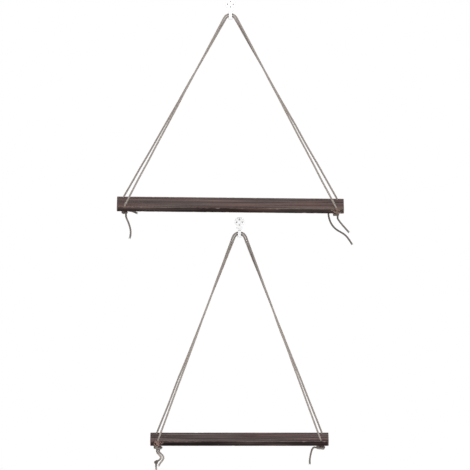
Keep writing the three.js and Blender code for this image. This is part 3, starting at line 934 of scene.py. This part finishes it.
pin_pieces = []
for name, shelf in shelves.items():
    for place, (x, z) in pin_places.items():
        piece = pin_piece(f"{name}_steel_pin_{place}", shelf["hook"] + Vector((x, 0, z)))
        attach(piece, "wall_hooks")
        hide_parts(f"{name}_pin_{place}")
        pin_pieces.append(piece)

# %% [markdown]
# The boards are rough planks with a dark stain. A bevelled box would be too clean: on the real board
# the corners are rubbed round unevenly, with small chips along the edges, and the grain stands up a
# little. So a box is cut into narrow strips, finer near its edges, and each point is pulled onto a
# rounding whose radius wanders along the board.

# %% Board sizes
strip_length = 2.6 * mm
strip_width = 1.2 * mm
strip_height = 1.1 * mm
edge_crowding = 0.4  # how much finer the strips are near an edge
edge_radius = 1.0 * mm
edge_wander = 0.7 * mm
edge_wander_length = 13 * mm
chip_depth = 3.2 * mm
chip_length = 8 * mm
chip_threshold = 0.3
corner_radius = 3 * mm
grain_relief = 0.16 * mm
grain_long = 55 * mm
grain_fine = 2.4 * mm
hole_radius = 3 * mm
hole_sides = 32
sharp_angle = math.radians(50)
side_top_share = 0.65  # how much of the side's stain and painted shade shows at its top edge
flecked_reach = 60 * mm
flecked_shares = {"upper": (0.94, -1), "lower": (-0.92, -1)}  # of the half length and width
face_tolerance = 0.01 * mm  # how near to a face a point counts as on it


def cut_box(size, strips):
    """A box centred on the origin, cut into strips that are finer near its edges.

    It starts as a cube from -1 to 1, so that each coordinate is a share of half the size.
    """
    shape = bmesh.new()
    bmesh.ops.create_cube(shape, size=2)
    for axis, count in enumerate(strips):
        across = [edge for edge in shape.edges if abs(edge.verts[0].co[axis] - edge.verts[1].co[axis]) > 1]
        bmesh.ops.subdivide_edges(shape, edges=across, cuts=count - 1, use_grid_fill=True)
    for vertex in shape.verts:
        crowded = [share * (1 + edge_crowding * (1 - share * share)) for share in vertex.co]
        vertex.co = [value * length / 2 for value, length in zip(crowded, size)]
    return shape


def pulled_round(point, half, radius, axes):
    """The point moved onto a rounding of that radius, across the axes named."""
    inner = Vector(point)
    for axis in axes:
        inner[axis] = min(max(point[axis], radius - half[axis]), half[axis] - radius)
    offset = Vector(point) - inner
    if offset.length == 0:
        return Vector(point)
    return inner + offset * (max(abs(value) for value in offset) / offset.length)


def board_piece(name, seed):
    """A worn plank with its four holes, in its place under the ropes."""
    shelf = shelves[name]
    size = (shelf["length"], board_depth, board_thickness)
    half = Vector(size) / 2
    strip = (strip_length, strip_width, strip_height)
    shape = cut_box(size, [round(length / part) for length, part in zip(size, strip)])
    wear_and_highlight = shape.verts.layers.float.new("wear_and_highlight")
    side = shape.verts.layers.float.new("side")
    flecked = shape.verts.layers.float.new("flecked")
    along_share, across_share = flecked_shares[name]
    patch = Vector((half.x * along_share, half.y * across_share, 0))
    for vertex in shape.verts:
        place = vertex.co.copy()
        seeded = place + Vector((0, 0, seed))
        chip = max(0.0, noise.noise(seeded / chip_length) - chip_threshold) / (1 - chip_threshold)
        wander = edge_wander * noise.noise(seeded / edge_wander_length + Vector((seed, 0, 0)))
        radius = edge_radius + wander + chip_depth * chip
        worn = pulled_round(place, half, radius, (0, 1, 2))
        worn = pulled_round(worn, half, corner_radius, (0, 1))
        grain = Vector((place.x / grain_long, place.y / grain_fine, place.z / grain_fine))
        out = Vector([
            math.copysign(1, value) if abs(value) > most - face_tolerance else 0
            for value, most in zip(place, half)
        ])
        # Paler at the rubbed edges: partly real wear, partly a painted highlight.
        vertex[wear_and_highlight] = min(1.0, (place - worn).length / edge_radius)
        from_patch = Vector((place.x - patch.x, place.y - patch.y, 0)).length
        vertex[flecked] = max(0.0, 1 - from_patch / flecked_reach)
        # On the sides: a share of stain and painted shade, darker towards the bottom.
        depth_share = (half.z - place.z) / size[2]
        vertex[side] = side_top_share + (1 - side_top_share) * depth_share if out.x or out.y else 0.0
        vertex.co = worn + out * grain_relief * (noise.noise(grain + Vector((seed, 0, 0))) - 1) / 2
    board = object_from(f"{name}_plank", shape)

    drills = bmesh.new()
    for x in (-1, 1):
        for y in (-1, 1):
            from_end = holes_from_end["front" if y < 0 else "rear"]
            middle = Vector((x * (half.x - from_end), y * (half.y - hole_from_edge), 0))
            bmesh.ops.create_cone(
                drills, cap_ends=True, segments=hole_sides, radius1=hole_radius, radius2=hole_radius,
                depth=2 * board_thickness, matrix=Matrix.Translation(middle),
            )
    drills = object_from("drills", drills)
    cut = board.modifiers.new("holes", "BOOLEAN")
    cut.object, cut.solver = drills, "EXACT"
    applied(board)
    bpy.data.objects.remove(drills)
    board.data.transform(shelf["board_frame"] @ Matrix.Translation((0, 0, -half.z)))
    board.data.shade_smooth()
    board.data.set_sharp_from_angle(angle=sharp_angle)
    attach(board, f"{name}_shelf")
    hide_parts(f"{name}_board")
    print(board.name, len(board.data.polygons), "faces")
    return board


board_seeds = {"upper": 3.0, "lower": 8.0}
boards = {name: board_piece(name, seed) for name, seed in board_seeds.items()}

# %% [markdown]
# A finish is a small tree of nodes, and these helpers keep each one short. A colour is written as it
# is read off a picture, in steps from 0 to 255, and turned into the light values that Blender mixes.
# Nearly every pattern here is noise that is drawn out along the piece, and a ramp gives it colours.

# %% Finish helpers
noise_roughness = 0.6
no_share, full_share = (0, 0, 0, 1), (1, 1, 1, 1)


def shade(red, green, blue):
    """A colour given in steps from 0 to 255, as Blender's own values, by the usual screen curve."""
    steps = [value / 255 for value in (red, green, blue)]
    return (*[s / 12.92 if s <= 0.04045 else ((s + 0.055) / 1.055) ** 2.4 for s in steps], 1)


def finish(name, roughness, **sockets):
    """A new material with its shader and its node tree."""
    made = bpy.data.materials.new(name)
    made.use_nodes = True
    shader = made.node_tree.nodes["Principled BSDF"]
    shader.inputs["Roughness"].default_value = roughness
    for socket, value in sockets.items():
        shader.inputs[socket.replace("_", " ")].default_value = value
    return made, made.node_tree, shader


def add(tree, kind, inputs=None, **settings):
    """A node, set up, with its inputs joined to sockets or given values."""
    node = tree.nodes.new(kind)
    for setting, value in settings.items():
        setattr(node, setting, value)
    for socket, value in (inputs or {}).items():
        if isinstance(value, bpy.types.NodeSocket):
            tree.links.new(value, node.inputs[socket])
        else:
            node.inputs[socket].default_value = value
    return node


def streaks(tree, place, scales, detail, roughness=noise_roughness):
    """Noise that is drawn out by different amounts along the three axes."""
    drawn = add(tree, "ShaderNodeVectorMath", {0: place, 1: scales}, operation="MULTIPLY")
    return add(
        tree, "ShaderNodeTexNoise",
        {"Vector": drawn.outputs[0], "Scale": 1.0, "Detail": detail, "Roughness": roughness},
    ).outputs["Fac"]


def ramp(tree, value, places, colours):
    """Colours that follow a value, each from its own place on."""
    node = add(tree, "ShaderNodeValToRGB", {"Fac": value})
    stops = node.color_ramp.elements
    while len(stops) < len(places):
        stops.new(places[1])
    for stop, place, colour in zip(stops, places, colours):
        stop.position, stop.color = place, colour
    return node.outputs["Color"]


def mixed(tree, share, first, second, blend="MIX"):
    """Two colours mixed by a share."""
    node = add(tree, "ShaderNodeMix", data_type="RGBA", blend_type=blend)
    # Inputs 0, 6 and 7 are the share and the two colours; those between belong to other data types.
    for index, value in ((0, share), (6, first), (7, second)):
        if isinstance(value, bpy.types.NodeSocket):
            tree.links.new(value, node.inputs[index])
        else:
            node.inputs[index].default_value = value
    return node.outputs[2]


def sums(tree, operation, *values, clamp=False):
    """One step of arithmetic on values or sockets."""
    inputs = dict(enumerate(values))
    return add(tree, "ShaderNodeMath", inputs, operation=operation, use_clamp=clamp).outputs[0]


def mean(tree, first, second):
    """Halfway between two values."""
    return sums(tree, "MULTIPLY", sums(tree, "ADD", first, second), 0.5)


def kept(tree, name):
    """A number that is kept at each point of the mesh under this name."""
    return add(tree, "ShaderNodeAttribute", attribute_name=name).outputs["Fac"]


def bumped(tree, shader, height, strength, distance):
    """Fine relief on the surface."""
    node = add(tree, "ShaderNodeBump", {"Height": height, "Strength": strength, "Distance": distance})
    tree.links.new(node.outputs["Normal"], shader.inputs["Normal"])


def dress(pieces, made):
    """Gives the pieces this finish and no other."""
    for piece in pieces:
        piece.data.materials.clear()
        piece.data.materials.append(made)


# %% [markdown]
# The wood is grey brown from its stain, with streaks that run along the board. Three noises drawn
# out along the length make them: broad bands, narrow streaks and fine pores. The narrow sides are
# darker, most towards their bottom: partly they took more stain, partly it is painted shade. The
# rubbed edges show paler wood, partly real wear and partly a painted highlight. One corner of each
# board is chipped: a fine noise makes pale flecks there, fewer with the distance from the corner.

# %% Stained wood
broad_streaks = {"scales": (3.5, 60, 60), "detail": 3.0}
narrow_streaks = {"scales": (9, 380, 380), "detail": 5.0, "roughness": 0.65}
pore_streaks = {"scales": (45, 1500, 1500), "detail": 2.0}
tint_streaks = {"scales": (5, 30, 30), "detail": 2.0}
fleck_streaks = {"scales": (380, 520, 520), "detail": 3.0}
tone_places, tint_places = (0.4, 0.5, 0.61), (0.42, 0.58)
pore_places, fleck_places = (0.3, 0.42), (0.46, 0.5)
wood_tones = {
    "upper": (shade(48, 38, 36), shade(84, 71, 68), shade(126, 110, 105)),
    "lower": (shade(26, 20, 20), shade(74, 62, 60), shade(134, 117, 114)),
}
# The sides are darker: partly real stain, partly painted shade.
side_stain_and_shade = {"upper": shade(88, 76, 72), "lower": shade(116, 102, 98)}
# Paler wood at the rubbed edges: partly real wear, partly a painted highlight.
worn_wood_and_highlight = {"upper": shade(138, 118, 108), "lower": shade(152, 122, 114)}
fleck_wood = {"upper": shade(128, 108, 98), "lower": shade(140, 112, 104)}
tints = (shade(246, 250, 250), shade(255, 232, 228))
pore_dark = shade(30, 23, 22)
pore_strength = 0.55
pore_relief_share = 0.5
wear_and_highlight_gain = 1.5
wood_roughness = 0.85
wood_reflection = 0.15
wood_relief = {"strength": 0.6, "distance": 0.4 * mm}


def stained_wood(name, seed):
    """The finish of one board, with its own grain."""
    made, tree, shader = finish(f"{name}_stained_wood", wood_roughness, Specular_IOR_Level=wood_reflection)
    middle = shelves[name]["board_frame"].translation
    place = add(tree, "ShaderNodeTexCoord").outputs["Object"]
    own = add(
        tree, "ShaderNodeMapping",
        {"Vector": place, "Location": (seed - middle.x, -middle.y, -middle.z)},
    ).outputs[0]
    broad = streaks(tree, own, **broad_streaks)
    narrow = streaks(tree, own, **narrow_streaks)
    colour = ramp(tree, mean(tree, broad, narrow), tone_places, wood_tones[name])
    tint = ramp(tree, streaks(tree, own, **tint_streaks), tint_places, tints)
    colour = mixed(tree, 1.0, colour, tint, "MULTIPLY")
    pore = ramp(tree, streaks(tree, own, **pore_streaks), pore_places, (full_share, no_share))
    colour = mixed(tree, sums(tree, "MULTIPLY", pore, pore_strength), colour, pore_dark)
    # The sides: partly real stain, partly painted shade.
    sides = mixed(tree, 1.0, colour, side_stain_and_shade[name], "MULTIPLY")
    colour = mixed(tree, kept(tree, "side"), colour, sides)
    # Paler rubbed edges: partly real wear, partly a painted highlight.
    patchy = sums(tree, "MULTIPLY", narrow, wear_and_highlight_gain)
    worn = sums(tree, "MULTIPLY", kept(tree, "wear_and_highlight"), patchy, clamp=True)
    colour = mixed(tree, worn, colour, worn_wood_and_highlight[name])
    chipping = sums(tree, "MULTIPLY", streaks(tree, own, **fleck_streaks), kept(tree, "flecked"))
    fleck = ramp(tree, chipping, fleck_places, (no_share, full_share))
    colour = mixed(tree, fleck, colour, fleck_wood[name])
    tree.links.new(colour, shader.inputs["Base Color"])
    relief = sums(tree, "SUBTRACT", narrow, sums(tree, "MULTIPLY", pore, pore_relief_share))
    bumped(tree, shader, relief, **wood_relief)
    return made


for name, board in boards.items():
    dress([board], stained_wood(name, seed=board_seeds[name]))
    print(board.name, "is dressed in", board.data.materials[0].name)

# %% [markdown]
# Jute is a dull straw grey. Its fibres run along the rope although the strands wind round it, so the
# streaks on a strand's own map slant against the twist. Painted shade darkens it between the strands
# and near the hook and the knots, by the amount kept with the mesh. The loose ends, all but the one
# that is tied twice, are a darker jute: painted shade under the boards.

# %% Jute
fibre_slant = 0.5
fibre_streaks = {"scales": (9, 0.7, 9), "detail": 4.0, "roughness": 0.7}
patch_streaks = {"scales": (2.2, 0.45, 2.2), "detail": 2.0}
jute_places = (0.36, 0.5, 0.64)
jute_tones = {
    "jute": (shade(94, 86, 80), shade(150, 141, 134), shade(206, 197, 189)),
    # A darker jute for painted shade on the loose ends under the boards.
    "painted_shade_jute": (shade(74, 68, 64), shade(112, 105, 99), shade(152, 144, 137)),
}
painted_shade_colour = shade(72, 64, 60)
painted_shade_strength = 0.85
jute_roughness = 0.88
jute_reflection = 0.25
jute_relief = {"strength": 0.7, "distance": 0.25 * mm}


def jute(name):
    """The finish of some of the rope."""
    made, tree, shader = finish(name, jute_roughness, Specular_IOR_Level=jute_reflection)
    rope_map = add(tree, "ShaderNodeUVMap", uv_map=rope_map_name).outputs[0]
    around, along, _ = add(tree, "ShaderNodeSeparateXYZ", {"Vector": rope_map}).outputs
    slanted = sums(tree, "ADD", around, sums(tree, "MULTIPLY", along, fibre_slant))
    turn = sums(tree, "MULTIPLY", slanted, math.tau)
    ring = add(
        tree, "ShaderNodeCombineXYZ",
        {"X": sums(tree, "COSINE", turn), "Y": along, "Z": sums(tree, "SINE", turn)},
    ).outputs[0]
    fibres = streaks(tree, ring, **fibre_streaks)
    patches = streaks(tree, ring, **patch_streaks)
    colour = ramp(tree, mean(tree, fibres, patches), jute_places, jute_tones[name])
    # Painted shade between the strands and near the hook and the knots.
    depth = sums(tree, "MULTIPLY", kept(tree, shade_attribute_name), painted_shade_strength)
    colour = mixed(tree, depth, colour, painted_shade_colour)
    tree.links.new(colour, shader.inputs["Base Color"])
    bumped(tree, shader, fibres, **jute_relief)
    return made


jute_finishes = {name: jute(name) for name in jute_tones}
for piece in rope_pieces:
    # The loose ends, all but the twice-tied one, get the darker jute: painted shade under the boards.
    shaded_end = piece.name.endswith("end_of_rope") and not piece.name.startswith("lower_front_left")
    dress([piece], jute_finishes["painted_shade_jute" if shaded_end else "jute"])
print("jute on", len(rope_pieces), "pieces of rope")

# %% [markdown]
# The hooks are white plastic with the faint unevenness of a cheap moulding. The pins are dull steel.
# Both are small and have no grain that follows their shape, so noise in the room's own coordinates
# is enough, and neither needs a map.

# %% Plastic and steel
plastic_roughness, steel_roughness = 0.34, 0.38
ripple_streaks = {"scales": (160, 160, 160), "detail": 2.0}
ripple_relief = {"strength": 0.15, "distance": 0.2 * mm}
speckle_streaks = {"scales": (420, 420, 420), "detail": 3.0}
speckle_places, speckle_tones = (0.4, 0.6), (shade(236, 237, 237), shade(243, 244, 244))
tarnish_streaks = {"scales": (900, 900, 900), "detail": 3.0}
tarnish_places, tarnish_tones = (0.35, 0.7), (shade(84, 80, 78), shade(140, 136, 132))

plastic, tree, shader = finish("white_plastic", plastic_roughness)
place = add(tree, "ShaderNodeTexCoord").outputs["Object"]
bumped(tree, shader, streaks(tree, place, **ripple_streaks), **ripple_relief)
speckle = ramp(tree, streaks(tree, place, **speckle_streaks), speckle_places, speckle_tones)
tree.links.new(speckle, shader.inputs["Base Color"])

steel, tree, shader = finish("pin_steel", steel_roughness, Metallic=1.0)
place = add(tree, "ShaderNodeTexCoord").outputs["Object"]
tarnish = ramp(tree, streaks(tree, place, **tarnish_streaks), tarnish_places, tarnish_tones)
tree.links.new(tarnish, shader.inputs["Base Color"])

dress(hook_pieces, plastic)
dress(pin_pieces, steel)
print("plastic on", len(hook_pieces), "hooks, steel on", len(pin_pieces), "pins")

# %% [markdown]
# The light is plain and soft. A pale sky lights every side. A wide sun low in front lights the hooks
# and the ropes; it stands low so that the upper board throws no shadow on the lower hook. A weaker
# sun from above and the left gives the top faces their form. The background is white for the camera
# and for reflections only, so it puts no extra light on the shelves.

# %% Light
sky_strength = 0.5
white_strength = 1.0
plain_white = (1, 1, 1, 1)
suns = {
    "front_sun": {"from_left": -12, "height": 9, "strength": 1.9, "softness": 20},
    "high_sun": {"from_left": 30, "height": 55, "strength": 1.2, "softness": 24},
}
world = bpy.data.worlds.new("pale_room")
bpy.context.scene.world = world
world.use_nodes = True
tree = world.node_tree
tree.nodes.clear()
rays = add(tree, "ShaderNodeLightPath").outputs
seen = sums(tree, "MAXIMUM", rays["Is Camera Ray"], rays["Is Glossy Ray"])
seen = sums(tree, "MAXIMUM", seen, rays["Is Transmission Ray"])
soft = add(tree, "ShaderNodeBackground", {"Color": plain_white, "Strength": sky_strength})
white = add(tree, "ShaderNodeBackground", {"Color": plain_white, "Strength": white_strength})
both = add(tree, "ShaderNodeMixShader", {0: seen, 1: soft.outputs[0], 2: white.outputs[0]})
add(tree, "ShaderNodeOutputWorld", {"Surface": both.outputs[0]})

for name, sun in suns.items():
    light = bpy.data.lights.new(name, "SUN")
    light.energy, light.angle = sun["strength"], math.radians(sun["softness"])
    aside, up = math.radians(sun["from_left"]), math.radians(sun["height"])
    shine = Vector((math.sin(aside) * math.cos(up), math.cos(aside) * math.cos(up), -math.sin(up)))
    linked(name, light).rotation_euler = shine.to_track_quat("-Z", "Y").to_euler()
print("lights:", ", ".join(suns), "and a sky of strength", sky_strength)

# %% [markdown]
# The shelves hang on a wall, so the floor is well below them. It is plain and pale, takes the
# shadows, and fades into the white background towards its rim.

# %% Floor
floor_height = -1.45
floor_radius = 2.0
floor_sides = 96
fade_start_share = 0.4  # where the fade begins, as a share of the radius
fade_end_share = 0.97
floor_colour = shade(240, 240, 239)
floor_roughness = 0.8

shape = bmesh.new()
bmesh.ops.create_circle(
    shape, cap_ends=True, segments=floor_sides, radius=floor_radius,
    matrix=Matrix.Translation((0, 0, floor_height)),
)
bmesh.ops.reverse_faces(shape, faces=[face for face in shape.faces if face.normal.z < 0])
floor = object_from("floor", shape)
floor_paint, tree, shader = finish("floor_paint", floor_roughness)
shader.inputs["Base Color"].default_value = floor_colour
place = add(tree, "ShaderNodeTexCoord").outputs["Object"]
flat = add(tree, "ShaderNodeVectorMath", {0: place, 1: (1, 1, 0)}, operation="MULTIPLY").outputs[0]
from_middle = add(tree, "ShaderNodeVectorMath", {0: flat}, operation="LENGTH").outputs["Value"]
fade = add(
    tree, "ShaderNodeMapRange",
    {
        "Value": from_middle,
        "From Min": fade_start_share * floor_radius,
        "From Max": fade_end_share * floor_radius,
    },
    interpolation_type="SMOOTHSTEP",
).outputs["Result"]
seen_fade = sums(tree, "MULTIPLY", fade, add(tree, "ShaderNodeLightPath").outputs["Is Camera Ray"])
white = add(tree, "ShaderNodeEmission", {"Color": plain_white, "Strength": white_strength})
blend = add(
    tree, "ShaderNodeMixShader", {0: seen_fade, 1: shader.outputs[0], 2: white.outputs[0]},
).outputs[0]
tree.links.new(blend, tree.nodes["Material Output"].inputs["Surface"])
dress([floor], floor_paint)
floor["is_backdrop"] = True
print("the floor is", round(-floor_height, 2), "m below the upper hook")

# %% [markdown]
# Colours are shown plainly, as they are written. Last, the box round everything made here is printed.

bpy.context.scene.view_settings.view_transform = "Standard"
low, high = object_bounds()
print("visual box", [round(v, 4) for v in low], [round(v, 4) for v in high])
